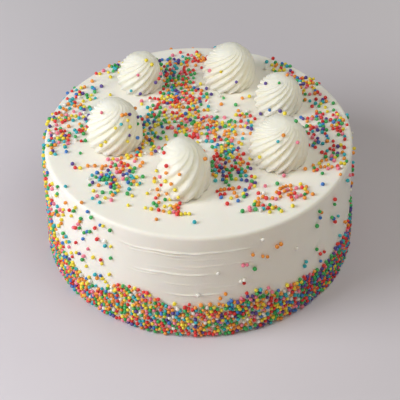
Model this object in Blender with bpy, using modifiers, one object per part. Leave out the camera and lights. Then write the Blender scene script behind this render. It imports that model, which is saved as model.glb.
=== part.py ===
"""Round birthday cake in white whipped frosting, with six piped cream swirls and rainbow sprinkles.

Metres, +Z up. The origin is the middle of the flat underside, and the front faces -Y.
"""

import math
import random

import bmesh
import bpy
from mathutils import Matrix, Vector
from mathutils.bvhtree import BVHTree

# The cake: an eight inch tin, frosted and smoothed with a straight scraper
INCH = 0.0254
TOP_RADIUS = 8 * INCH / 2
FOOT_RADIUS = TOP_RADIUS + 0.0033
CAKE_HEIGHT = 0.083
RIM_ROUND = 0.0022
FOOT_ROUND = 0.001
SIDE_SEGMENTS = 60

# Level lines of frosting that the scraper left standing on the side, from the lowest
SCRAPER_LINES = (0.036, 0.053, 0.071)
SCRAPER_RAISE = 0.0005
SCRAPER_HALF_WIDTH = 0.0011

# Piped swirls: name, middle of the foot, foot's half width and half depth, height, ridges, turn at the foot,
# twist on the way up, and lean of the top
SWIRLS = (
    ("swirl_front", (-0.0093, -0.0500), (0.0166, 0.0214), 0.0287, 11, 10.0, 140.0, (-0.0015, 0.0015)),
    ("swirl_left", (-0.0547, -0.0080), (0.0183, 0.0183), 0.0300, 15, 10.0, 165.0, (-0.0005, 0.0020)),
    ("swirl_back_left", (-0.0402, 0.0558), (0.0161, 0.0161), 0.0235, 14, 130.0, 150.0, (0.0010, 0.0010)),
    ("swirl_back", (0.0217, 0.0591), (0.0185, 0.0185), 0.0278, 15, 200.0, 150.0, (0.0010, -0.0005)),
    ("swirl_back_right", (0.0544, 0.0277), (0.0163, 0.0163), 0.0235, 15, 255.0, 135.0, (0.0000, 0.0010)),
    ("swirl_right", (0.0509, -0.0262), (0.0192, 0.0192), 0.0280, 18, 5.0, 115.0, (0.0010, 0.0010)),
)
SWIRL_RINGS = 10
SWIRL_FULLNESS = 0.83  # 1 is a plain dome, and lower is fuller at the shoulders
SWIRL_WIND = 240.0  # degrees that a ridge winds from foot to tip: its twist first, and the rest close under the tip
SWIRL_TWIST_GAIN = 0.9  # the ridges lie flatter at the foot and stand steeper above
SWIRL_TUCK = 0.07
SWIRL_TUCK_HEIGHT = 0.4
RIDGE_CREST = 0.045
RIDGE_VALLEY = 0.095
SEAT_GAP = 0.0003

# Sprinkles are sugar balls about 2.5 mm across, pressed a third of the way into the cream
SPRINKLE_RADIUS = 0.00125
SPRINKLE_LIFT = 0.30 * SPRINKLE_RADIUS
SPRINKLE_SPACING = 0.0033
SPRINKLES_PER_SWIRL = 4
SWIRL_CLEARANCE = 0.0026

# Where sprinkles lie on the top: middle, half widths, turn in degrees, how many
TOP_PATCHES = (
    ((-0.012, 0.070), (0.016, 0.028), 0, 14),
    ((-0.002, 0.018), (0.038, 0.025), 0, 23),
    ((0.020, -0.022), (0.011, 0.024), 12, 11),
    ((-0.052, -0.046), (0.018, 0.011), -12, 9),
    ((-0.040, -0.062), (0.034, 0.020), -20, 8),
    ((0.042, -0.062), (0.030, 0.014), 22, 9),
)
# Along the rim of the top: from and to in degrees, inner and outer radius, how many
TOP_ARCS = (
    (122, 205, 0.078, 0.098, 21),
    (-42, 26, 0.077, 0.096, 15),
    (26, 62, 0.086, 0.097, 5),
    (205, 240, 0.066, 0.096, 4),
)
# On the side: from and to in degrees, lowest and highest, how many
SIDE_BANDS = (
    (0, 360, 0.0025, 0.0270, 56),
    (122, 232, 0.0290, 0.0780, 16),
    (-38, 45, 0.0290, 0.0780, 10),
    (45, 122, 0.0290, 0.0780, 5),
    (240, 318, 0.0290, 0.0780, 3),
)
SEED = 7

FROSTING = (0.90, 0.88, 0.83, 1.0)
PIPED_CREAM = (0.92, 0.89, 0.82, 1.0)
CREAM_ROUGHNESS = 0.5


def start_clean():
    """Removes what the file opened with."""
    for old in list(bpy.data.objects):
        bpy.data.objects.remove(old)


def new_collection(name):
    """A collection linked to the scene."""
    made = bpy.data.collections.new(name)
    bpy.context.scene.collection.children.link(made)
    return made


def new_material(name, colour):
    """A plain matt cream finish."""
    made = bpy.data.materials.new(name)
    made.use_nodes = True
    shader = made.node_tree.nodes["Principled BSDF"]
    shader.inputs["Base Color"].default_value = colour
    shader.inputs["Roughness"].default_value = CREAM_ROUGHNESS
    shader.inputs["Metallic"].default_value = 0.0
    return made


def new_object(name, bm, collection, material=None):
    """Turns a bmesh into a named object."""
    mesh = bpy.data.meshes.new(name)
    bm.to_mesh(mesh)
    bm.free()
    made = bpy.data.objects.new(name, mesh)
    collection.objects.link(made)
    if material:
        mesh.materials.append(material)
    return made


def apply_modifiers(obj):
    """Replaces the object's mesh with what its modifiers make of it."""
    graph = bpy.context.evaluated_depsgraph_get()
    finished = bpy.data.meshes.new_from_object(obj.evaluated_get(graph))
    obj.modifiers.clear()
    obj.data = finished


def side_radius(height):
    """The side slopes in by a few millimetres from the foot to the top."""
    return FOOT_RADIUS + (TOP_RADIUS - FOOT_RADIUS) * height / CAKE_HEIGHT


def cake_profile():
    """Outline of half the cake, from the middle of the top down the outer side to the middle of the underside."""
    points = [(0.0, CAKE_HEIGHT)]
    rim_steps = 3
    for step in range(rim_steps + 1):
        angle = math.pi / 2 * (1 - step / rim_steps)
        points.append((
            TOP_RADIUS - RIM_ROUND + RIM_ROUND * math.cos(angle),
            CAKE_HEIGHT - RIM_ROUND + RIM_ROUND * math.sin(angle),
        ))
    for line in reversed(SCRAPER_LINES):
        points.append((side_radius(line + SCRAPER_HALF_WIDTH), line + SCRAPER_HALF_WIDTH))
        points.append((side_radius(line) + SCRAPER_RAISE, line))
        points.append((side_radius(line - SCRAPER_HALF_WIDTH), line - SCRAPER_HALF_WIDTH))
    points.append((side_radius(FOOT_ROUND), FOOT_ROUND))
    points.append((FOOT_RADIUS - FOOT_ROUND, 0.0))
    points.append((0.0, 0.0))
    return points


def make_cake(collection, material):
    """The frosted body: the profile turned once about the cake's axis."""
    bm = bmesh.new()
    line = [bm.verts.new((radius, 0.0, height)) for radius, height in cake_profile()]
    for start, end in zip(line, line[1:]):
        bm.edges.new((start, end))
    cake = new_object("cake", bm, collection, material)
    turn = cake.modifiers.new("turn", "SCREW")
    turn.axis = "Z"
    turn.angle = math.tau
    turn.steps = SIDE_SEGMENTS
    turn.render_steps = SIDE_SEGMENTS
    turn.use_merge_vertices = True
    turn.merge_threshold = 0.00005
    apply_modifiers(cake)
    return cake


def swirl_point(column, share, half_foot, height, ridges, turn, twist, lean):
    """A point of a piped swirl: column is its angle at the foot, share runs from 0 at the foot to 1 at the top."""
    latitude = share ** (1 / SWIRL_TWIST_GAIN) * math.pi / 2
    lift = math.sin(latitude) ** SWIRL_FULLNESS
    dome = math.cos(latitude) ** SWIRL_FULLNESS
    tuck = 1 - SWIRL_TUCK * max(0.0, 1 - lift / SWIRL_TUCK_HEIGHT) ** 2
    wave = math.cos((column - math.pi / 2) * ridges)
    ridge = 1 + (RIDGE_CREST if wave > 0 else RIDGE_VALLEY) * wave * (1 - share ** 5)
    reach = dome * tuck * ridge
    angle = column + math.radians(turn + twist * share + (SWIRL_WIND - twist) * share ** 5)
    return Vector((
        half_foot[0] * reach * math.cos(angle) + lean[0] * lift ** 2,
        half_foot[1] * reach * math.sin(angle) + lean[1] * lift ** 2,
        height * lift,
    ))


def make_swirl(name, foot, half_foot, height, ridges, turn, twist, lean, collection, material):
    """One piped swirl: the upper half of a sphere, ridged and twisted, flat on its foot."""
    bm = bmesh.new()
    bmesh.ops.create_uvsphere(bm, u_segments=2 * ridges, v_segments=2 * SWIRL_RINGS, radius=1.0)
    lower = [v for v in bm.verts if v.co.z < -0.001]
    bmesh.ops.delete(bm, geom=lower, context="VERTS")
    bmesh.ops.holes_fill(bm, edges=[e for e in bm.edges if e.is_boundary])
    for vertex in bm.verts:
        column = math.atan2(vertex.co.y, vertex.co.x)
        share = math.asin(max(0.0, min(1.0, vertex.co.z))) / (math.pi / 2)
        vertex.co = swirl_point(column, share, half_foot, height, ridges, turn, twist, lean)
    sides = [f for f in bm.faces if len(f.verts) == 4]
    bmesh.ops.triangulate(bm, faces=sides, quad_method="SHORT_EDGE")
    bmesh.ops.recalc_face_normals(bm, faces=bm.faces)
    bm.transform(Matrix.Translation((foot[0], foot[1], CAKE_HEIGHT + SEAT_GAP)))
    return new_object(name, bm, collection, material)


def clear_of(place, taken):
    """True where no sprinkle lies too near."""
    return all((place - other).length > SPRINKLE_SPACING for other in taken)


def clear_of_swirls(x, y):
    """True where the top is free of piped cream."""
    return all(
        math.hypot(x - foot[0], y - foot[1]) > max(half_foot) * (1 + RIDGE_CREST) + SWIRL_CLEARANCE
        for _, foot, half_foot, *_ in SWIRLS
    )


def scatter(rng, how_many, draw, taken):
    """Draws places until the patch has its sprinkles, each clear of the rest."""
    found = []
    for _ in range(how_many * 400):
        if len(found) == how_many:
            break
        spot = draw(rng)
        if spot and clear_of(spot[0], taken):
            taken.append(spot[0])
            found.append(spot)
    return found


def top_spot(x, y):
    """A place on the top with the way it faces, or nothing where a swirl stands or the rim begins."""
    inside = math.hypot(x, y) < TOP_RADIUS - RIM_ROUND - SPRINKLE_RADIUS
    if inside and clear_of_swirls(x, y):
        return Vector((x, y, CAKE_HEIGHT)), Vector((0, 0, 1))
    return None


def patch_draw(middle, half_widths, turn):
    """Places in an oval on the top, thinning out towards its edge."""
    tilt = math.radians(turn)

    def draw(rng):
        reach = rng.random() ** 0.6
        angle = rng.uniform(0, math.tau)
        along = reach * half_widths[0] * math.cos(angle)
        across = reach * half_widths[1] * math.sin(angle)
        x = middle[0] + along * math.cos(tilt) - across * math.sin(tilt)
        y = middle[1] + along * math.sin(tilt) + across * math.cos(tilt)
        return top_spot(x, y)

    return draw


def arc_draw(start, end, inner, outer):
    """Places along the rim of the top."""

    def draw(rng):
        angle = math.radians(rng.uniform(start, end))
        radius = rng.uniform(inner, outer)
        return top_spot(radius * math.cos(angle), radius * math.sin(angle))

    return draw


def side_draw(start, end, low, high):
    """Places on the side, clear of the scraper lines."""

    def draw(rng):
        angle = math.radians(rng.uniform(start, end))
        height = rng.uniform(low, high)
        if any(abs(height - line) < SCRAPER_HALF_WIDTH for line in SCRAPER_LINES):
            return None
        outward = Vector((math.cos(angle), math.sin(angle), 0))
        chord = math.cos(math.pi / SIDE_SEGMENTS)  # the flat facets lie a little inside the circle
        return outward * side_radius(height) * chord + Vector((0, 0, height)), outward

    return draw


def sprinkle_places():
    """Every place on the body that takes a sprinkle."""
    rng = random.Random(SEED)
    taken, places = [], []
    for middle, half_widths, turn, how_many in TOP_PATCHES:
        places += scatter(rng, how_many, patch_draw(middle, half_widths, turn), taken)
    for start, end, inner, outer, how_many in TOP_ARCS:
        places += scatter(rng, how_many, arc_draw(start, end, inner, outer), taken)
    for start, end, low, high, how_many in SIDE_BANDS:
        places += scatter(rng, how_many, side_draw(start, end, low, high), taken)
    return places


def swirl_sprinkle_places(swirl, foot, rng):
    """Places on a swirl's own cream, between a quarter and three quarters of the way up."""
    bm = bmesh.new()
    bm.from_mesh(swirl.data)
    surface = BVHTree.FromBMesh(bm)
    bm.free()
    axis = Vector((foot[0], foot[1], CAKE_HEIGHT))

    def draw(rng):
        angle = rng.uniform(0, math.tau)
        tilt = math.radians(rng.uniform(22, 62))
        outward = Vector((math.cos(angle) * math.cos(tilt), math.sin(angle) * math.cos(tilt), math.sin(tilt)))
        hit, normal, _, _ = surface.ray_cast(axis + outward * 0.06, -outward)
        return (hit, normal) if hit else None

    return scatter(rng, SPRINKLES_PER_SWIRL, draw, [])


def fuse_sprinkles(target, places, rng):
    """Adds a ball at each place and joins them all to the cream with one union."""
    balls = new_collection(target.name + "_sprinkles")
    for number, (place, normal) in enumerate(places):
        bm = bmesh.new()
        bmesh.ops.create_icosphere(bm, subdivisions=1, radius=SPRINKLE_RADIUS)
        spin = Matrix.Rotation(rng.uniform(0, math.tau), 4, Vector((rng.random(), rng.random(), 1)))
        bm.transform(Matrix.Translation(place + normal * SPRINKLE_LIFT) @ spin)
        new_object(f"{target.name}_ball_{number}", bm, balls)
    union = target.modifiers.new("sprinkles", "BOOLEAN")
    union.operation = "UNION"
    union.operand_type = "COLLECTION"
    union.collection = balls
    union.solver = "MANIFOLD"
    apply_modifiers(target)
    for ball in list(balls.objects):
        bpy.data.objects.remove(ball)
    bpy.data.collections.remove(balls)


def main():
    start_clean()
    parts = new_collection("birthday_cake")
    frosting = new_material("frosting", FROSTING)
    piped_cream = new_material("piped_cream", PIPED_CREAM)

    cake = make_cake(parts, frosting)
    fuse_sprinkles(cake, sprinkle_places(), random.Random(SEED + 1))

    rng = random.Random(SEED + 2)
    for name, foot, half_foot, height, ridges, turn, twist, lean in SWIRLS:
        swirl = make_swirl(name, foot, half_foot, height, ridges, turn, twist, lean, parts, piped_cream)
        fuse_sprinkles(swirl, swirl_sprinkle_places(swirl, foot, rng), rng)


main()
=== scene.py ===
"""The looks of a round birthday cake: white frosting, six piped swirls of cream and rainbow sugar balls."""

import math
import random

import bmesh
import bpy
import numpy as np
from mathutils import Matrix, Vector, noise
from mathutils.bvhtree import BVHTree


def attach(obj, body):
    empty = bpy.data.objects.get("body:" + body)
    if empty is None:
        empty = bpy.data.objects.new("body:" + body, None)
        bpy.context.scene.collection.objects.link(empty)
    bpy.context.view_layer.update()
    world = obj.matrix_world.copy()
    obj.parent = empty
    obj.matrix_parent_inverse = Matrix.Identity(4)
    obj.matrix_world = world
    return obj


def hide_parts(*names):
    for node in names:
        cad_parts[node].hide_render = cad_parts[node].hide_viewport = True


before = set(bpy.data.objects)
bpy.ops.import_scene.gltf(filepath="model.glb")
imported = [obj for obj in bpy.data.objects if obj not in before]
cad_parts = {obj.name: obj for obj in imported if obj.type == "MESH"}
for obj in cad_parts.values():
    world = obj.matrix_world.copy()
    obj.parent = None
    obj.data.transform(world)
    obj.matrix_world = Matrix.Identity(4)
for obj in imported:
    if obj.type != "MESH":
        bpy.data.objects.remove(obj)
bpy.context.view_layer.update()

# Sizes in metres
CAKE_TOP = 0.083
TOP_RADIUS = 0.1016
FOOT_RADIUS = 0.1049
RIM_ROUND = 0.0022
COAT_COLUMNS = 160
SEAT_GAP = 0.0003  # between the top of the cake and the foot of a swirl

# Name, middle of the foot, foot's half width and half depth, height, ridges, turn at the foot,
# twist on the way up, and lean of the top
SWIRLS = (
    ("front", (-0.0093, -0.0500), (0.0166, 0.0214), 0.0287, 11, 10, 140, (-0.0015, 0.0015)),
    ("left", (-0.0547, -0.0080), (0.0183, 0.0183), 0.0300, 15, 10, 165, (-0.0005, 0.0020)),
    ("back_left", (-0.0402, 0.0558), (0.0161, 0.0161), 0.0235, 14, 130, 150, (0.0010, 0.0010)),
    ("back", (0.0217, 0.0591), (0.0185, 0.0185), 0.0278, 15, 200, 150, (0.0010, -0.0005)),
    ("back_right", (0.0544, 0.0277), (0.0163, 0.0163), 0.0235, 15, 255, 135, (0.0000, 0.0010)),
    ("right", (0.0509, -0.0262), (0.0192, 0.0192), 0.0280, 18, 5, 115, (0.0010, 0.0010)),
)
SWIRL_RINGS = 24
SWIRL_FULLNESS = 0.83  # 1 is a plain dome, and lower is fuller at the shoulders
SWIRL_WIND = 240  # degrees that a ridge winds from foot to tip: its twist first, the rest close under the tip
SWIRL_TWIST_GAIN = 0.9
SWIRL_TUCK = 0.07  # how far the foot draws in, as a share of its width
SWIRL_TUCK_HEIGHT = 0.4  # share of the height up to which it does
SWIRL_UNDERSIDE = (0.72, 0.965)  # reach of the rings under a swirl, as shares of its foot
SWIRL_FOOT_EDGE = 0.0006
SWIRL_TIP = 0.02  # reach of the last ring, as a share of the foot
SWIRL_STILL = 0.0006  # height of the foot that the lumps leave alone
SWIRL_FADE = 0.003  # the height over which the lumps set in above it
FIRST_SWIRL_SEED = 11

BALL_RADIUS = 0.00125
BALL_SPACING = 0.00218
BALL_SIZES = (0.86, 1.12)  # smallest and largest, as shares of the radius
BALL_PROUD = (0.55, 0.92)  # how far its middle stands out of the cream, as a share of its radius
BALL_SPACING_RANGE = (0.92, 1.12)
BALL_CLEARANCE = 1.05  # lowest that its middle lies above the floor, in its own radii
SCATTER_SEED = 20
SPIN_SEED = 5

# The eye that looks at the cake, and the point it looks at
EYE_DISTANCE = 0.737
EYE_HEIGHT_DEG = 40.7
EYE_ROLL_DEG = -0.75
EYE_LENS_MM = 96.3
EYE_SENSOR_MM = 36
EYE_MIDDLE = Vector((0.0, 0.0, 0.04))
EYE_AIM = Vector((0.0004, -0.0083, 0.0304))

FLOOR_SIZE = 6
FLOOR_DROP = 0.0002


# Finishes


class Link:
    """A socket that takes part in sums with numbers and other sockets."""

    def __init__(self, finish, socket):
        self.finish = finish
        self.socket = socket

    def sum(self, operation, first, second):
        return self.finish.add("ShaderNodeMath", {"operation": operation}, {0: first, 1: second})

    def __add__(self, other):
        return self.sum("ADD", self, other)

    def __radd__(self, other):
        return self.sum("ADD", other, self)

    def __mul__(self, other):
        return self.sum("MULTIPLY", self, other)

    def __rmul__(self, other):
        return self.sum("MULTIPLY", other, self)

    def between(self, low, high):
        """0 below low, 1 above high, and a soft step from one to the other."""
        step = {0: self, 1: low, 2: high, 3: 0.0, 4: 1.0}
        return self.finish.add("ShaderNodeMapRange", {"interpolation_type": "SMOOTHSTEP"}, step)


class Finish:
    """A material whose nodes are added one line at a time."""

    def __init__(self, name, **plain):
        self.material = bpy.data.materials.new(name)
        self.material.use_nodes = True
        self.tree = self.material.node_tree
        self.shader = self.tree.nodes["Principled BSDF"]
        self.place = self.add("ShaderNodeTexCoord", {}, {}, "Object")
        for socket, value in plain.items():
            self.wear(socket.replace("_", " "), value)

    def add(self, kind, settings, values, output=0):
        node = self.tree.nodes.new(kind)
        for name, value in settings.items():
            setattr(node, name, value)
        for socket, value in values.items():
            self.fill(node.inputs[socket], value)
        return Link(self, node.outputs[output])

    def fill(self, socket, value):
        if isinstance(value, Link):
            self.tree.links.new(value.socket, socket)
        else:
            socket.default_value = value

    def wear(self, socket, value):
        """Sets one of the shader's own sockets."""
        self.fill(self.shader.inputs[socket], value)

    def clouds(self, scale, detail=2.0, stretch=(1, 1, 1), shift=(0, 0, 0)):
        """Soft random values from 0 to 1, scale of them to the metre."""
        spot = self.add("ShaderNodeMapping", {}, {"Vector": self.place, "Scale": stretch, "Location": shift})
        return self.add("ShaderNodeTexNoise", {}, {"Vector": spot, "Scale": scale, "Detail": detail})

    def blend(self, share, first, second):
        """One colour going over into another."""
        return self.add("ShaderNodeMix", {"data_type": "RGBA"}, {0: share, 6: first, 7: second}, 2)

    def relief(self, height, depth, under=None):
        """Small ups and downs that only the light shows."""
        values = {"Height": height, "Distance": depth}
        if under:
            values["Normal"] = under
        return self.add("ShaderNodeBump", {}, values)


def frosting_finish():
    finish = Finish(
        "white_frosting", Subsurface_Weight=0.25, Subsurface_Radius=(1.0, 0.75, 0.5), Subsurface_Scale=0.0025,
        Specular_IOR_Level=0.35,
    )
    drift = finish.clouds(28, 3.0)
    streaks = finish.clouds(7, 3.0, stretch=(1, 1, 26))
    pores = finish.clouds(900, 2.0)
    finish.wear("Base Color", finish.blend(drift, (0.91, 0.88, 0.80, 1), (0.94, 0.915, 0.845, 1)))
    finish.wear("Roughness", 0.42 + drift * 0.14 + pores * 0.05)
    smoothed = finish.relief(streaks, 0.0003)
    finish.wear("Normal", finish.relief(pores, 0.00006, smoothed))
    return finish.material


def cream_finish():
    finish = Finish(
        "piped_cream", Subsurface_Weight=0.6, Subsurface_Radius=(1.0, 0.93, 0.76), Subsurface_Scale=0.018,
        Specular_IOR_Level=0.4,
    )
    valley = finish.add("ShaderNodeAttribute", {"attribute_name": "valley"}, {}, "Fac")
    drift = finish.clouds(60, 2.0)
    grain = finish.clouds(1100, 3.0)
    crest = finish.blend(drift, (0.985, 0.95, 0.80, 1), (0.99, 0.97, 0.85, 1))
    # The valleys are painted darker and tan by their depth: painted shade in the grooves between the ridges.
    finish.wear("Base Color", finish.blend(valley * 0.45, crest, (0.90, 0.81, 0.63, 1)))
    finish.wear("Roughness", 0.40 + grain * 0.15)
    finish.wear("Normal", finish.relief(grain, 0.00008))
    return finish.material


def sugar_finish(name, colour):
    finish = Finish("sugar_" + name, Specular_IOR_Level=0.45, Coat_Weight=0.12, Coat_Roughness=0.25)
    batch = finish.clouds(340, 0.0)
    grain = finish.clouds(2600, 1.0)
    deep = tuple(0.80 * c for c in colour) + (1,)
    pale = tuple(min(1.0, c + 0.035) for c in colour) + (1,)
    finish.wear("Base Color", finish.blend(batch.between(0.3, 0.7), deep, pale))
    finish.wear("Roughness", 0.38 + grain * 0.2)
    finish.wear("Normal", finish.relief(grain, 0.00003))
    return finish.material


def floor_finish():
    finish = Finish("pale_floor", Roughness=0.7)
    drift = finish.clouds(3, 2.0)
    away = finish.add("ShaderNodeVectorMath", {"operation": "LENGTH"}, {0: finish.place}, 1)
    near = finish.blend(drift, (0.66, 0.62, 0.67, 1), (0.70, 0.66, 0.71, 1))
    far = finish.blend(drift, (0.84, 0.81, 0.85, 1), (0.88, 0.85, 0.89, 1))
    # Darker near the cake and paler far from it, making up for the lamps' light falling off with distance:
    # painted light.
    finish.wear("Base Color", finish.blend(away.between(0.14, 0.45), near, far))
    return finish.material


# Hand tools


def nothing_selected():
    if bpy.context.object and bpy.context.object.mode != "OBJECT":
        bpy.ops.object.mode_set(mode="OBJECT")
    bpy.ops.object.select_all(action="DESELECT")


def apply_modifier(kind, **settings):
    """Adds a modifier to the piece in hand and applies it."""
    piece = bpy.context.object
    modifier = piece.modifiers.new(kind.lower(), kind)
    for name, value in settings.items():
        setattr(modifier, name, value)
    bpy.ops.object.modifier_apply(modifier=modifier.name)


def soften(levels):
    apply_modifier("SUBSURF", levels=levels, render_levels=levels)


def unevenness(name, size, depth, group=""):
    """Pushes the surface in and out a little, in lumps of the given size."""
    lumps = bpy.data.textures.new(name, "CLOUDS")
    lumps.noise_scale = size
    lumps.noise_depth = 1
    apply_modifier(
        "DISPLACE", texture=lumps, strength=depth, mid_level=0.5, texture_coords="LOCAL", vertex_group=group,
    )


def start_ring(name, columns):
    """A flat round of radius 1 to draw a shape up from, in edit mode with all of it selected."""
    nothing_selected()
    bpy.ops.mesh.primitive_circle_add(vertices=columns, radius=1.0, fill_type="NGON", location=(0, 0, 0))
    piece = bpy.context.object
    piece.name = name
    bpy.ops.object.mode_set(mode="EDIT")
    return piece


def resize_round(reach_now, reach, centre):
    share = reach / reach_now
    bpy.ops.transform.resize(value=(share, share, 1), center_override=centre)


def draw_up(rings):
    """Draws the selected round up through rings of (reach, height, turn, middle) and closes the last."""
    reach_now, height_now, turn_now, middle_now = rings[0]
    centre = (middle_now[0], middle_now[1], height_now)
    resize_round(1.0, reach_now, (0, 0, 0))
    bpy.ops.transform.translate(value=centre)
    for reach, height, turn, middle in rings[1:]:
        step = (middle[0] - middle_now[0], middle[1] - middle_now[1], height - height_now)
        bpy.ops.mesh.extrude_region_move(TRANSFORM_OT_translate={"value": step})
        centre = (middle[0], middle[1], height)
        resize_round(reach_now, reach, centre)
        if turn != turn_now:
            # without a window this operator turns the other way
            bpy.ops.transform.rotate(value=turn_now - turn, orient_axis="Z", center_override=centre)
        reach_now, height_now, turn_now, middle_now = reach, height, turn, middle
    bpy.ops.mesh.merge(type="CENTER")


def finish_mesh(piece, material):
    """Faces outwards, smooth, in its finish."""
    bpy.ops.object.mode_set(mode="EDIT")
    bpy.ops.mesh.select_all(action="SELECT")
    bpy.ops.mesh.normals_make_consistent(inside=False)
    bpy.ops.object.mode_set(mode="OBJECT")
    bpy.ops.object.shade_smooth()
    piece.data.materials.clear()
    piece.data.materials.append(material)


# The frosting

# Raised lines left by the scraper: height, middle and half length in degrees round the side, how proud they
# stand as a share of the deepest
SCRAPER_LINES = (
    (0.0708, -95, 24, 1.0),
    (0.0682, -104, 12, 0.7),
    (0.0655, -92, 12, 0.3),
    (0.0600, -84, 16, 0.35),
    (0.0575, -101, 10, 0.3),
    (0.0535, -100, 15, 0.9),
    (0.0512, -110, 8, 0.5),
    (0.0450, -93, 12, 0.35),
    (0.0415, -80, 14, 0.25),
    (0.0362, -92, 10, 0.8),
)
SCRAPER_RAISE = 0.0009
SCRAPER_HALF_WIDTH = 0.00055
SCRAPER_WAVER = 0.0012  # how far a line strays up and down
SCRAPER_WAVER_SPAN = 9  # degrees
SCRAPER_BREAK_SPAN = 4  # degrees between a strong spot and a weak one
SCRAPER_BREAK_RATE = 90  # changes of strength to the metre of height
SCRAPER_MEAN = 0.75  # how strong a line is on the whole, and how far that swings along it
SCRAPER_SWING = 0.9
SCRAPER_FAINTEST = 0.01  # share below which a point of the side is left as it is

# The frosting's outline: how far in and how high its rounded foot edge goes, where the side starts,
# how far apart its rings are, the reach of the rings under the cake and on the top, and the steps of the rim
FOOT_EDGE = ((0.0010, 0.0), (0.0003, 0.0004))
SIDE_START = 0.0014
SIDE_STEP = 0.0009
UNDERSIDE_REACHES = (0.040, 0.085)
TOP_REACHES = (0.098, 0.095, 0.091, 0.086, 0.080, 0.073, 0.065, 0.056, 0.046, 0.036, 0.026, 0.016, 0.007)
RIM_ANGLES = (18, 36, 54, 72, 90)

# Waves of the frosting: name, size and depth. They fade in above the foot.
WAVES = (("broad_waves", 0.045, 0.0009), ("small_waves", 0.014, 0.0003))
WAVE_START = 0.0005
WAVE_FADE = 0.006


def side_radius(height):
    return FOOT_RADIUS + (TOP_RADIUS - FOOT_RADIUS) * height / CAKE_TOP


def coat_rings():
    """The outline of the frosting from the middle of the underside, round the rim, to that of the top."""
    outline = [(reach, 0.0) for reach in UNDERSIDE_REACHES]
    outline += [(FOOT_RADIUS - inset, height) for inset, height in FOOT_EDGE]
    low, high = SIDE_START, CAKE_TOP - RIM_ROUND
    count = round((high - low) / SIDE_STEP)
    outline += [(side_radius(z), z) for z in (low + (high - low) * n / count for n in range(count + 1))]
    for angle in RIM_ANGLES:
        turn = math.radians(angle)
        outline.append((
            TOP_RADIUS - RIM_ROUND + RIM_ROUND * math.cos(turn),
            CAKE_TOP - RIM_ROUND + RIM_ROUND * math.sin(turn),
        ))
    outline += [(reach, CAKE_TOP) for reach in TOP_REACHES]
    return [(reach, height, 0.0, (0.0, 0.0)) for reach, height in outline]


def scraper_share(place):
    """How proud the surface stands at a place on the side, as a share of the deepest line."""
    angle = math.degrees(math.atan2(place.y, place.x))
    height_here = place.z + SCRAPER_WAVER * noise.noise(Vector((angle / SCRAPER_WAVER_SPAN, 0, 4.5)))
    spot = Vector((angle / SCRAPER_BREAK_SPAN, place.z * SCRAPER_BREAK_RATE, 1.5))
    broken = SCRAPER_MEAN + SCRAPER_SWING * noise.noise(spot)
    share = 0.0
    for height, middle, half_length, proud in SCRAPER_LINES:
        along = abs((angle - middle + 180) % 360 - 180) / half_length
        if along < 1:
            rise = math.exp(-(((height_here - height) / SCRAPER_HALF_WIDTH) ** 2))
            share += proud * rise * (1 - along ** 4) * max(0.0, broken)
    return min(1.0, share)


def frosted_cake(material):
    cake = start_ring("frosted_cake", COAT_COLUMNS)
    draw_up(coat_rings())
    bpy.ops.object.mode_set(mode="OBJECT")
    soften(1)
    lines = cake.vertex_groups.new(name="scraper_lines")
    side = cake.vertex_groups.new(name="side_and_top")
    for vertex in cake.data.vertices:
        share = scraper_share(vertex.co)
        if share > SCRAPER_FAINTEST:
            lines.add([vertex.index], share, "REPLACE")
        above_foot = min(1.0, max(0.0, vertex.co.z - WAVE_START) / WAVE_FADE)
        if above_foot:
            side.add([vertex.index], above_foot, "REPLACE")
    apply_modifier("DISPLACE", strength=SCRAPER_RAISE, mid_level=0.0, vertex_group="scraper_lines")
    for name, size, depth in WAVES:
        unevenness(name, size, depth, "side_and_top")
    finish_mesh(cake, material)
    return cake


# The swirls

# What the nozzle's teeth leave: place between two crests (0 on a crest, 0.5 in a valley), and reach
TEETH = ((0.0, 1.05), (0.5, 0.895))
TEETH_UNEVEN = 0.030
PLACE_SLACK = 0.01

# How the ridges are rounded off where the nozzle let go: from what share of the height, how often,
# and whether in height too
TIP_SMOOTHING = ((0.80, 1, False), (0.90, 1, False), (0.96, 3, True))

# Unevenness of the cream: name, size and depth
SWIRL_WAVES = (("lumps", 0.008, 0.0011), ("ripple", 0.0028, 0.00035))

CREST_REACH = 1.02  # how far out a crest lies, as a share of the plain form
VALLEY_DEPTH = 0.11
NARROWEST = 0.06


def swirl_reach(lift):
    """Half the width of a swirl at a share of its height, as a share of its foot's."""
    dome = math.sqrt(max(0.0, 1 - lift ** (2 / SWIRL_FULLNESS))) ** SWIRL_FULLNESS
    return dome * (1 - SWIRL_TUCK * max(0.0, 1 - lift / SWIRL_TUCK_HEIGHT) ** 2)


def swirl_rings(half_foot, height, twist, lean):
    """From the flat foot to the tip. Reach is in foot radii, because the foot is made oval at the end."""
    foot = swirl_reach(0)
    rings = [(share * foot, 0.0, 0.0, (0.0, 0.0)) for share in SWIRL_UNDERSIDE]
    rings.append((foot, SWIRL_FOOT_EDGE, 0.0, (0.0, 0.0)))
    for step in range(1, SWIRL_RINGS):
        share = step / SWIRL_RINGS
        lift = math.sin(share ** (1 / SWIRL_TWIST_GAIN) * math.pi / 2) ** SWIRL_FULLNESS
        middle = (lean[0] / half_foot[0] * lift ** 2, lean[1] / half_foot[1] * lift ** 2)
        turn = math.radians(twist * share + (SWIRL_WIND - twist) * share ** 5)
        rings.append((swirl_reach(lift), height * lift, turn, middle))
    tip = (lean[0] / half_foot[0], lean[1] / half_foot[1])
    rings.append((SWIRL_TIP, height, math.radians(SWIRL_WIND), tip))
    return rings


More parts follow.
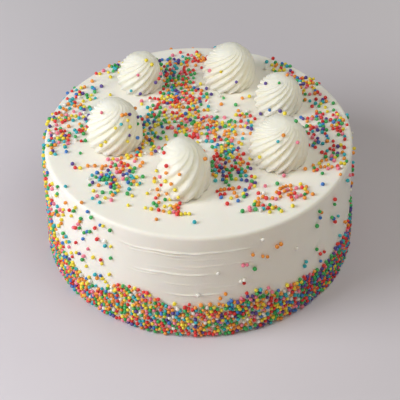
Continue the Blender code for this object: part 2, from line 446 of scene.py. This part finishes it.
def shape_teeth(ridges, seed):
    """Bends the round into the star that the nozzle's teeth leave, a crest and a valley to each ridge."""
    bm = bmesh.from_edit_mesh(bpy.context.object.data)
    for place, reach in TEETH:
        for vertex in bm.verts:
            phase = math.atan2(vertex.co.y, vertex.co.x) / math.tau * ridges % 1
            vertex.select_set(abs(min(phase, 1 - phase) - place) < PLACE_SLACK)
        bm.select_flush_mode()
        bmesh.update_edit_mesh(bpy.context.object.data)
        bpy.ops.transform.resize(value=(reach, reach, 1), center_override=(0, 0, 0))
    bpy.ops.mesh.select_all(action="SELECT")
    bpy.ops.transform.vertex_random(offset=TEETH_UNEVEN, seed=seed)
    bpy.ops.transform.resize(value=(1, 1, 0), center_override=(0, 0, 0))


def blunt_tip(height):
    """Rounds the ridges off where the nozzle let go."""
    bm = bmesh.from_edit_mesh(bpy.context.object.data)
    for share, repeats, down in TIP_SMOOTHING:
        for vertex in bm.verts:
            vertex.select_set(vertex.co.z > share * height)
        bm.select_flush_mode()
        bmesh.update_edit_mesh(bpy.context.object.data)
        bpy.ops.mesh.vertices_smooth(factor=0.5, repeat=repeats, xaxis=True, yaxis=True, zaxis=down)


def pipe_swirl(name, foot, half_foot, height, ridges, turn, twist, lean, seed, material):
    swirl = start_ring("swirl_of_cream_" + name, 4 * ridges)
    bpy.ops.mesh.select_mode(type="VERT")
    shape_teeth(ridges, seed)
    bpy.ops.transform.rotate(value=-math.radians(turn), orient_axis="Z", center_override=(0, 0, 0))
    draw_up(swirl_rings(half_foot, height, twist, lean))
    blunt_tip(height)
    bpy.ops.mesh.select_all(action="SELECT")
    bpy.ops.transform.resize(value=(half_foot[0], half_foot[1], 1), center_override=(0, 0, 0))
    bpy.ops.transform.translate(value=(foot[0], foot[1], CAKE_TOP + SEAT_GAP))
    bpy.ops.object.mode_set(mode="OBJECT")
    soften(2)
    raised = swirl.vertex_groups.new(name="above_foot")
    for vertex in swirl.data.vertices:
        share = min(1.0, max(0.0, vertex.co.z - CAKE_TOP - SWIRL_STILL) / SWIRL_FADE)
        if share:
            raised.add([vertex.index], share, "REPLACE")
    for wave, size, depth in SWIRL_WAVES:
        unevenness(f"{name}_{wave}", size, depth, "above_foot")
    mark_valleys(swirl, foot, half_foot, height, lean)
    finish_mesh(swirl, material)
    return swirl


def mark_valleys(swirl, foot, half_foot, height, lean):
    """Keeps for the finish how deep each point lies between two ridges: 0 on a crest, 1 in a valley. The
    finish paints shade into the valleys by it.
    """
    depths = []
    for vertex in swirl.data.vertices:
        lift = min(1.0, max(0.0, (vertex.co.z - CAKE_TOP - SEAT_GAP) / height))
        full = max(NARROWEST, swirl_reach(lift))
        across = (vertex.co.x - foot[0] - lean[0] * lift ** 2) / half_foot[0]
        deep = (vertex.co.y - foot[1] - lean[1] * lift ** 2) / half_foot[1]
        sunk = (CREST_REACH - math.hypot(across, deep) / full) / VALLEY_DEPTH
        depths.append(min(1.0, max(0.0, sunk)) * (1 - lift ** 6))
    valley = swirl.data.attributes.new("valley", "FLOAT", "POINT")
    valley.data.foreach_set("value", depths)


# The sugar balls

COLOURS = {
    "red": (0.85, 0.028, 0.024),
    "orange": (1.0, 0.34, 0.028),
    "yellow": (1.0, 0.80, 0.040),
    "green": (0.040, 0.46, 0.105),
    "teal": (0.020, 0.49, 0.58),
    "blue": (0.036, 0.21, 0.66),
    "purple": (0.11, 0.055, 0.34),
    "pink": (1.0, 0.24, 0.36),
    "white": (0.94, 0.92, 0.86),
}


def mix(*shares):
    """How often each colour turns up, in the order of COLOURS."""
    return dict(zip(COLOURS, shares))


EVEN = mix(15, 20, 18, 16, 11, 6, 6, 10, 6)
PALE = mix(7, 15, 26, 18, 15, 6, 5, 8, 5)
WARM = mix(23, 33, 20, 6, 3, 2, 3, 12, 3)
COOL = mix(3, 5, 20, 28, 24, 14, 9, 3, 4)
# DARK: darker colours where the swirls cast their shadows on the top and low on the band under its edge,
# painted shade.
DARK = mix(28, 12, 8, 26, 10, 6, 12, 8, 1)
FOOT = mix(15, 23, 21, 17, 10, 6, 7, 12, 6)
# SHADE: darker colours for the band on the side away from the light, painted shade.
SHADE = mix(24, 9, 3, 26, 8, 8, 26, 3, 0)
GOLD = mix(6, 34, 44, 3, 2, 1, 3, 10, 2)

# Patches of sugar balls on the top, in millimetres: middle, half width and half depth, turn in degrees,
# balls to the square centimetre at the middle, how sharply the patch ends (0 soft, 1 sharp), colours
TOP_PATCHES = (
    ((-93, 6), (8, 26), 0, 21, 0.5, EVEN),
    ((-78, 6), (7, 20), 0, 8, 0.2, EVEN),
    ((-78, 44), (9, 9), -25, 13, 0.4, EVEN),
    ((-86, 28), (7, 12), -20, 10, 0.4, EVEN),
    ((-73, 20), (6, 15), 0, 8, 0.2, EVEN),
    ((-62, 72), (15, 7), 42, 13, 0.3, EVEN),
    ((-15, 64), (11, 21), -3, 34, 0.5, DARK),
    ((-26, 78), (12, 8), 18, 6, 0.3, COOL),
    ((0, 87), (9, 6), 0, 26, 0.3, WARM),
    ((-16, 42), (13, 13), 0, 27, 0.4, WARM),
    ((-14, 31), (8, 7), 0, 26, 0.3, WARM),
    ((2, 46), (6, 9), 0, 16, 0.3, EVEN),
    ((-12, 25), (20, 12), 0, 22, 0.4, EVEN),
    ((-4, 8), (20, 12), -8, 20, 0.4, EVEN),
    ((-32, 2), (8, 16), 8, 22, 0.3, COOL),
    ((-34, -15), (9, 8), -35, 26, 0.2, WARM),
    ((30, 11), (10, 9), -20, 15, 0.3, EVEN),
    ((3, -2), (10, 7), 0, 20, 0.3, WARM),
    ((17, -13), (10, 17), 8, 22, 0.4, EVEN),
    ((15, -36), (8, 15), 5, 40, 0.3, DARK),
    ((29, -41), (8, 13), 0, 15, 0.3, DARK),
    ((18, -62), (8, 7), 0, 6, 0.2, EVEN),
    ((-44, -19), (9, 7), 15, 42, 0.4, GOLD),
    ((-52, -34), (12, 8), 5, 17, 0.4, WARM),
    ((-44, -45), (7, 5), 0, 17, 0.3, COOL),
    ((-57, -47), (9, 6), -15, 46, 0.9, COOL),
    ((-60, -60), (9, 7), -20, 7, 0.3, EVEN),
    ((-38, -58), (10, 8), -20, 4, 0.3, COOL),
    ((-24, -58), (7, 12), 0, 3, 0.2, GOLD),
    ((-15, -75), (7, 6), -10, 26, 0.4, GOLD),
    ((33, -70), (12, 9), 15, 7, 0.1, EVEN),
    ((43, -77), (7, 5), 10, 10, 0.3, EVEN),
    ((58, -61), (10, 7), 20, 25, 0.3, WARM),
    ((80, -38), (12, 8), 4, 11, 0.2, WARM),
    ((79, 6), (8, 15), 3, 24, 0.5, DARK),
    ((72, -13), (6, 8), 0, 10, 0.3, DARK),
    ((92, 7), (6, 13), 0, 30, 0.4, DARK),
    ((89, -25), (7, 10), 0, 20, 0.3, DARK),
    ((75, 49), (9, 12), -30, 23, 0.3, WARM),
    ((64, 58), (13, 7), -45, 15, 0.3, EVEN),
    ((61, 71), (12, 5), -40, 8, 0.4, COOL),
    ((82, 30), (7, 11), 20, 9, 0.3, DARK),
    ((48, 88), (24, 6), -30, 4, 0.2, EVEN),
    ((-56, -52), (34, 24), -30, 2.4, 0.3, EVEN),
    ((-4, 20), (45, 50), 0, 1.6, 0.3, EVEN),
    ((56, -56), (36, 16), 25, 1.4, 0.2, EVEN),
)
SWIRL_SHARE = 0.22  # of the balls that would land on a swirl, how many stay
PATCH_SOFTNESS = 0.62
PATCH_NUDGES = 4  # places tried for a ball before it is given up
NUDGE_TURN = 0.35
NUDGE_REACH = (0.85, 1.18)
RIM_CLEARANCE = 0.0012
GAP_RATE = 190  # bare spots and clumps to the metre, roughly
GAP_DEPTHS = (-0.55, 0.05)
RAY_START = 0.2
CELL = 0.002  # side of the boxes in which nearby balls are looked up

# Stretches of the side: from and to in degrees, balls to the square centimetre, colours
SIDE_STRETCHES = (
    (-186, -166, 6.0, PALE),
    (-166, -150, 3.6, PALE),
    (-150, -126, 2.5, PALE),
    (-126, -121, 1.0, PALE),
    (-46, -34, 0.6, EVEN),
    (-34, -6, 0.4, EVEN),
    (-6, 45, 2.0, EVEN),
    (45, 140, 2.4, EVEN),
    (140, 158, 3.2, EVEN),
    (158, 174, 4.6, PALE),
)
SIDE_THINNING = 1.15  # above 1, fewer balls near the rim
SIDE_RIM_CLEARANCE = 0.001
BAND_HEIGHT = 0.022  # where the scattered balls of the side start
BAND_CROWDING = 0.00200
BAND_TRIES = 90  # to the square centimetre, enough to leave hardly a gap
# How high the band round the foot reaches: degrees round the side, millimetres
BAND_TOP = (
    (-186, 42), (-172, 41), (-162, 36), (-154, 26), (-144, 27), (-135, 22), (-128, 21), (-120, 35),
    (-110, 35), (-100, 25), (-90, 28), (-80, 29), (-70, 34), (-60, 26), (-50, 28), (-42, 25), (-36, 26),
    (-30, 28), (-22, 22), (0, 23), (25, 28), (60, 27), (90, 30), (125, 27), (146, 30), (160, 35), (174, 42),
)
BAND_FRAY = 5.0
BAND_EDGE = (-0.6, 0.25)  # where its edge may lie, below and above that height, in frays
BAND_STRAYS = 0.02  # share of the balls that land above the edge all the same
BAND_SPRAY = 0.012  # how far above its highest point single balls of the band still fall
BAND_LOWEST = 0.0009
UNDER_EDGE = 0.005  # below this the balls are in the shadow of those above
SHADED_SIDE = (-52, 40)  # degrees

# Single balls that stray onto the smooth front: degrees round the side, height in millimetres, colour
STRAYS = (
    (-63.0, 66.0, "orange"), (-61.4, 66.6, "orange"), (-72.0, 65.5, "orange"), (-66.5, 60.0, "orange"),
    (-68.3, 61.8, "orange"), (-74.0, 58.0, "pink"), (-75.4, 58.4, "pink"), (-42.5, 73.0, "orange"),
    (-44.5, 44.5, "green"), (-35.5, 60.0, "green"), (-34.0, 69.0, "green"), (-68.5, 75.5, "white"),
    (-54.5, 56.5, "white"), (-84.0, 55.0, "white"), (-75.0, 46.0, "white"), (-76.2, 45.2, "white"),
    (-122.0, 77.0, "green"), (-124.5, 62.0, "teal"), (-122.5, 53.5, "green"), (-123.5, 38.5, "yellow"),
)

# Balls on the swirls, by where the eye sees them against the flat top, in millimetres, with their colour
ON_SWIRLS = (
    (-33, 79, "yellow"), (-37, 84, "yellow"), (-28, 83, "purple"), (-42, 66, "pink"), (-46, 48, "teal"),
    (-40, 45, "purple"), (-27, 65, "teal"), (-47, 20, "purple"), (-41, 17, "purple"), (-41, 10, "green"),
    (-52, 10, "teal"), (-46, -2, "purple"), (-64, -11, "yellow"), (-61, -8, "yellow"), (-65, 22, "pink"),
    (-28, -20, "purple"), (-22, -22, "red"), (-20, -34, "red"), (3, -28, "orange"), (-12, -43, "orange"),
    (-20, -42, "orange"), (-27, -40, "yellow"), (-24, -45, "pink"), (-21, -48, "yellow"), (-23, -53, "red"),
    (-17, -52, "orange"), (-15, -57, "yellow"), (-20, -60, "orange"), (-13, -64, "yellow"),
    (-18, -67, "yellow"), (-26, -58, "orange"), (-28, -47, "orange"), (17, 69, "yellow"), (27, 57, "purple"),
    (9, 72, "pink"), (57, 54, "green"),
    (48, 55, "purple"), (63, 63, "orange"), (66, 74, "green"), (54, 70, "yellow"), (42, 18, "purple"),
    (49, 23, "blue"), (56, 22, "purple"), (58, 18, "yellow"), (65, 10, "green"), (56, -5, "orange"),
    (52, -11, "teal"), (64, -12, "pink"), (38, 13, "red"), (40, -27, "yellow"), (33, -29, "yellow"),
)


def roll_ball():
    """One sugar ball: a small round pressed a little out of true, as its points and faces."""
    nothing_selected()
    bpy.ops.mesh.primitive_uv_sphere_add(segments=8, ring_count=6, radius=1.0, location=(0, 0, 0))
    ball = bpy.context.object
    bpy.ops.object.mode_set(mode="EDIT")
    bpy.ops.transform.vertex_random(offset=0.035, seed=4)
    bpy.ops.transform.resize(value=(1.03, 0.98, 0.95))
    bpy.ops.mesh.normals_make_consistent(inside=False)
    bpy.ops.object.mode_set(mode="OBJECT")
    points = np.array([vertex.co[:] for vertex in ball.data.vertices])
    faces = [list(face.vertices) for face in ball.data.polygons]
    bpy.data.objects.remove(ball)
    return points, faces


class Scatter:
    """Lays sugar balls on the cake, each clear of the ones before."""

    def __init__(self, cake, swirls, seed):
        self.draw = random.Random(seed)
        self.cake = self.surface([cake])
        self.swirls = self.surface(swirls)
        self.cells = {}
        self.laid = []

    @staticmethod
    def surface(pieces):
        points, faces = [], []
        for piece in pieces:
            start = len(points)
            points += [vertex.co.copy() for vertex in piece.data.vertices]
            faces += [[start + n for n in face.vertices] for face in piece.data.polygons]
        return BVHTree.FromPolygons(points, faces)

    def first_hit(self, origin, direction):
        """Where a line first meets the cream, which way the surface faces, and whether it is a swirl."""
        found = []
        for tree, on_swirl in ((self.cake, False), (self.swirls, True)):
            place, normal, _, distance = tree.ray_cast(origin, direction)
            if place:
                found.append((distance, place, normal, on_swirl))
        return min(found, key=lambda hit: hit[0])[1:] if found else None

    def crowded(self, place, spacing):
        key = tuple(math.floor(c / CELL) for c in place)
        for dx in (-1, 0, 1):
            for dy in (-1, 0, 1):
                for dz in (-1, 0, 1):
                    for other in self.cells.get((key[0] + dx, key[1] + dy, key[2] + dz), ()):
                        if (other - place).length < spacing:
                            return True
        return False

    def lay(self, place, normal, colour, spacing=BALL_SPACING):
        """Presses a ball into the cream at a place, unless one lies there."""
        size = BALL_RADIUS * self.draw.uniform(*BALL_SIZES)
        middle = place + normal * size * self.draw.uniform(*BALL_PROUD)
        if middle.z < size * BALL_CLEARANCE:
            return False
        if self.crowded(middle, spacing * self.draw.uniform(*BALL_SPACING_RANGE)):
            return False
        self.cells.setdefault(tuple(math.floor(c / CELL) for c in middle), []).append(middle)
        self.laid.append((middle, size, colour))
        return True

    def gap(self, x, y):
        """Bare spots a few millimetres wide between the clumps."""
        return noise.noise(Vector((x, y, 0.3)) * GAP_RATE) < self.draw.uniform(*GAP_DEPTHS)

    def pick(self, colours):
        return self.draw.choices(list(colours), list(colours.values()))[0]

    def over_top(self, middle, half, turn, density, sharpness, colours):
        """An oval patch, thinning out towards its edge."""
        tries = round(density * math.pi * half[0] * half[1] / 100)
        tilt = math.radians(turn)
        for _ in range(tries):
            angle = self.draw.uniform(0, math.tau)
            reach = math.sqrt(self.draw.random())
            if self.draw.random() > sharpness:
                reach = PATCH_SOFTNESS * math.sqrt(-2 * math.log(1 - self.draw.random()))
            for _ in range(PATCH_NUDGES):
                along = reach * half[0] * math.cos(angle)
                across = reach * half[1] * math.sin(angle)
                x = (middle[0] + along * math.cos(tilt) - across * math.sin(tilt)) / 1000
                y = (middle[1] + along * math.sin(tilt) + across * math.cos(tilt)) / 1000
                if math.hypot(x, y) > TOP_RADIUS - RIM_CLEARANCE or self.gap(x, y):
                    break
                hit = self.first_hit(Vector((x, y, RAY_START)), Vector((0, 0, -1)))
                if hit[2] and self.draw.random() > SWIRL_SHARE:
                    break
                if self.lay(hit[0], hit[1], self.pick(colours)):
                    break
                angle += self.draw.uniform(-NUDGE_TURN, NUDGE_TURN)
                reach *= self.draw.uniform(*NUDGE_REACH)

    def on_side(self, degrees, height, colour, spacing=BALL_SPACING):
        angle = math.radians(degrees)
        outward = Vector((math.cos(angle), math.sin(angle), 0))
        hit = self.first_hit(outward * RAY_START + Vector((0, 0, height)), -outward)
        return bool(hit) and self.lay(hit[0], hit[1], colour, spacing)

    def round_side(self, start, end, density, colours):
        """Scattered balls above the band, fewer towards the rim."""
        area = math.radians(end - start) * FOOT_RADIUS * (CAKE_TOP - BAND_HEIGHT) * 10000
        for _ in range(round(area * density)):
            height = BAND_HEIGHT + (CAKE_TOP - BAND_HEIGHT) * self.draw.random() ** SIDE_THINNING
            if height < CAKE_TOP - SIDE_RIM_CLEARANCE:
                self.on_side(self.draw.uniform(start, end), height, self.pick(colours))

    def band_top(self, degrees):
        for (start, low), (end, high) in zip(BAND_TOP, BAND_TOP[1:]):
            if start <= degrees <= end:
                return low + (high - low) * (degrees - start) / (end - start)

    def round_foot(self):
        """The thick band round the foot, with a frayed upper edge."""
        highest = max(top for _, top in BAND_TOP) / 1000 + BAND_SPRAY
        area = math.tau * FOOT_RADIUS * highest * 10000
        for _ in range(round(area * BAND_TRIES)):
            degrees = self.draw.uniform(BAND_TOP[0][0], BAND_TOP[-1][0])
            height = self.draw.uniform(BAND_LOWEST, highest)
            over = (height * 1000 - self.band_top(degrees)) / BAND_FRAY
            if over > self.draw.uniform(*BAND_EDGE) and self.draw.random() > BAND_STRAYS * math.exp(-over):
                continue
            # On the side away from the light and low under the band's edge the balls take darker colours:
            # painted shade.
            if SHADED_SIDE[0] < degrees < SHADED_SIDE[1]:
                colours = SHADE
            else:
                colours = DARK if height < UNDER_EDGE else FOOT
            self.on_side(degrees, height, self.pick(colours), BAND_CROWDING)

    def by_eye(self, x, y, colour):
        """A ball that the eye sees against a point of the flat top, laid on whatever is in front of it."""
        towards = Vector((x / 1000, y / 1000, CAKE_TOP)) - eye_place()
        hit = self.first_hit(eye_place(), towards.normalized())
        if hit:
            self.lay(hit[0], hit[1], colour)


def scatter_balls(cake, swirls):
    scatter = Scatter(cake, swirls, SCATTER_SEED)
    for single in ON_SWIRLS:
        scatter.by_eye(*single)
    for degrees, height, colour in STRAYS:
        scatter.on_side(degrees, height / 1000, colour)
    for patch in TOP_PATCHES:
        scatter.over_top(*patch)
    for stretch in SIDE_STRETCHES:
        scatter.round_side(*stretch)
    scatter.round_foot()
    return scatter.laid


def gather_balls(colour, laid, ball, material, draw):
    """All the balls of one colour as one piece."""
    points, faces = ball
    placed, joined = [], []
    for number, (middle, size, _) in enumerate(entry for entry in laid if entry[2] == colour):
        angle = draw.uniform(0, math.tau)
        axis = Vector((draw.random(), draw.random(), draw.random() + 0.1))
        spin = Matrix.Rotation(angle, 3, axis)
        placed.append(points @ np.array(spin).T * size + np.array(middle))
        joined += [[number * len(points) + n for n in face] for face in faces]
    mesh = bpy.data.meshes.new("sugar_balls_" + colour)
    mesh.from_pydata(np.concatenate(placed).tolist(), [], joined)
    mesh.polygons.foreach_set("use_smooth", [True] * len(joined))
    mesh.materials.append(material)
    piece = bpy.data.objects.new("sugar_balls_" + colour, mesh)
    bpy.context.scene.collection.objects.link(piece)
    return piece


# Floor, eye and light


def eye_place():
    tilt = math.radians(EYE_HEIGHT_DEG)
    return EYE_MIDDLE + Vector((0, -math.cos(tilt), math.sin(tilt))) * EYE_DISTANCE


def set_camera():
    bpy.ops.object.camera_add(location=eye_place())
    camera = bpy.context.object
    looking = (EYE_AIM - eye_place()).to_track_quat("-Z", "Y").to_matrix()
    roll = Matrix.Rotation(math.radians(EYE_ROLL_DEG), 3, "Z")
    camera.rotation_euler = (looking @ roll).to_euler()
    camera.data.sensor_width = EYE_SENSOR_MM
    camera.data.lens = EYE_LENS_MM
    camera.data.clip_start = 0.01
    bpy.context.scene.camera = camera


def soft_light(name, place, aim, size, power, colour):
    bpy.ops.object.light_add(type="AREA", location=place)
    lamp = bpy.context.object
    lamp.name = name
    lamp.rotation_euler = (Vector(aim) - Vector(place)).to_track_quat("-Z", "Y").to_euler()
    lamp.data.shape = "DISK"
    lamp.data.size = size
    lamp.data.energy = power
    lamp.data.color = colour


def set_lights():
    # Name, place, aim, size in metres, power in watts and colour
    soft_light("window", (-0.664, -0.236, 0.535), (0, 0, 0.06), 0.55, 6.1, (0.96, 0.975, 1.0))
    soft_light("ceiling", (0.346, -0.242, 0.966), (0, 0, 0.06), 0.9, 2.9, (0.99, 0.985, 0.90))
    soft_light("right_card", (0.598, 0.218, 0.696), (0, 0, 0.08), 0.5, 1.1, (1.0, 0.975, 0.90))
    soft_light("warm_card", (0.0, -1.089, 0.213), (0, 0, 0.04), 0.8, 1.1, (1.0, 0.70, 0.28))
    world = bpy.data.worlds.new("soft_room")
    bpy.context.scene.world = world
    world.use_nodes = True
    room = world.node_tree.nodes["Background"]
    room.inputs["Color"].default_value = (1.0, 0.97, 0.925, 1)
    room.inputs["Strength"].default_value = 0.08
    bpy.context.scene.view_settings.view_transform = "Standard"


def lay_floor():
    nothing_selected()
    bpy.ops.mesh.primitive_plane_add(size=FLOOR_SIZE, location=(0, 0, -FLOOR_DROP))
    floor = bpy.context.object
    floor.name = "floor"
    floor.data.materials.append(floor_finish())


def main():
    set_camera()
    set_lights()
    lay_floor()

    frosting = frosting_finish()
    cream = cream_finish()
    cake = frosted_cake(frosting)
    swirls = [pipe_swirl(*row, seed, cream) for seed, row in enumerate(SWIRLS, FIRST_SWIRL_SEED)]
    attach(cake, "root")
    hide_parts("cake")
    for swirl, row in zip(swirls, SWIRLS):
        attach(swirl, "root")
        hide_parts("swirl_" + row[0])

    laid = scatter_balls(cake, swirls)
    ball = roll_ball()
    draw = random.Random(SPIN_SEED)
    for colour, tint in COLOURS.items():
        balls = gather_balls(colour, laid, ball, sugar_finish(colour, tint), draw)
        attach(balls, "root")
        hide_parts("cake")
    print("sugar balls", len(laid))


main()
